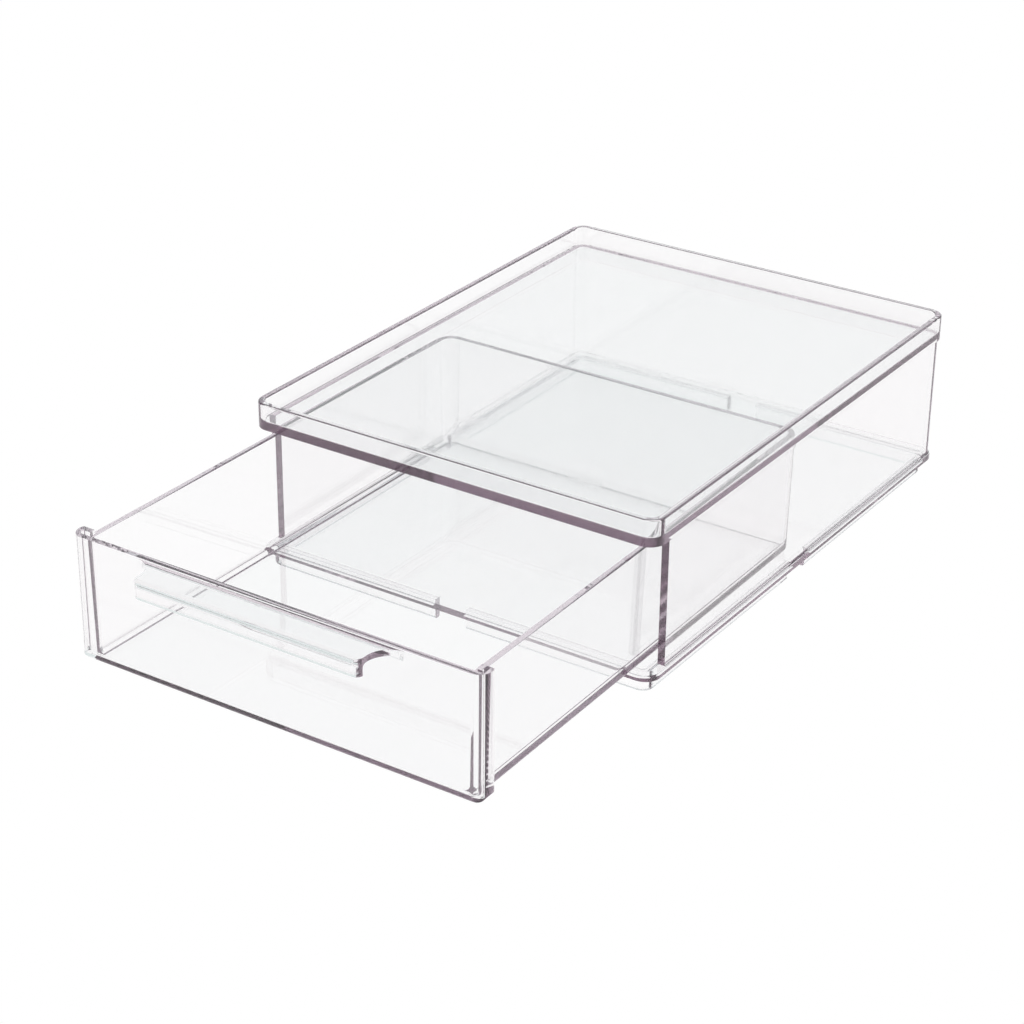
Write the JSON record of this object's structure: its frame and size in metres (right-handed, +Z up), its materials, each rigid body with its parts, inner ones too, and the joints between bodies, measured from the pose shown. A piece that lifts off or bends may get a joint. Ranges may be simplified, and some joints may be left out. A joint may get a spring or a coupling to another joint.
{
  "type": "stackable drawer box",
  "caption": "Clear plastic box with an open-topped drawer and a finger pull; a rim on its roof takes the foot of a box set on top.",
  "frame": {"origin": "bottom centre of the whole object at rest, with the drawer out, on the plane where the foot ring stands", "axes": "+Z up, -Y is the way the drawer opens, +X is to the right of someone who faces the back of the box"},
  "size_m": [0.18, 0.351, 0.0719],
  "materials": {
    "clear_plastic": "gloss"
  },
  "bodies": {
    "case": {"base_tray": "clear_plastic", "wall_shell": "clear_plastic", "top_tray": "clear_plastic"},
    "drawer": {"drawer": "clear_plastic"}
  },
  "joints": [
    {"name": "drawer_slide", "type": "slide", "parent": "case", "child": "drawer", "axis": [0, -1, 0], "range_m": [-0.108, 0.132]}
  ]
}
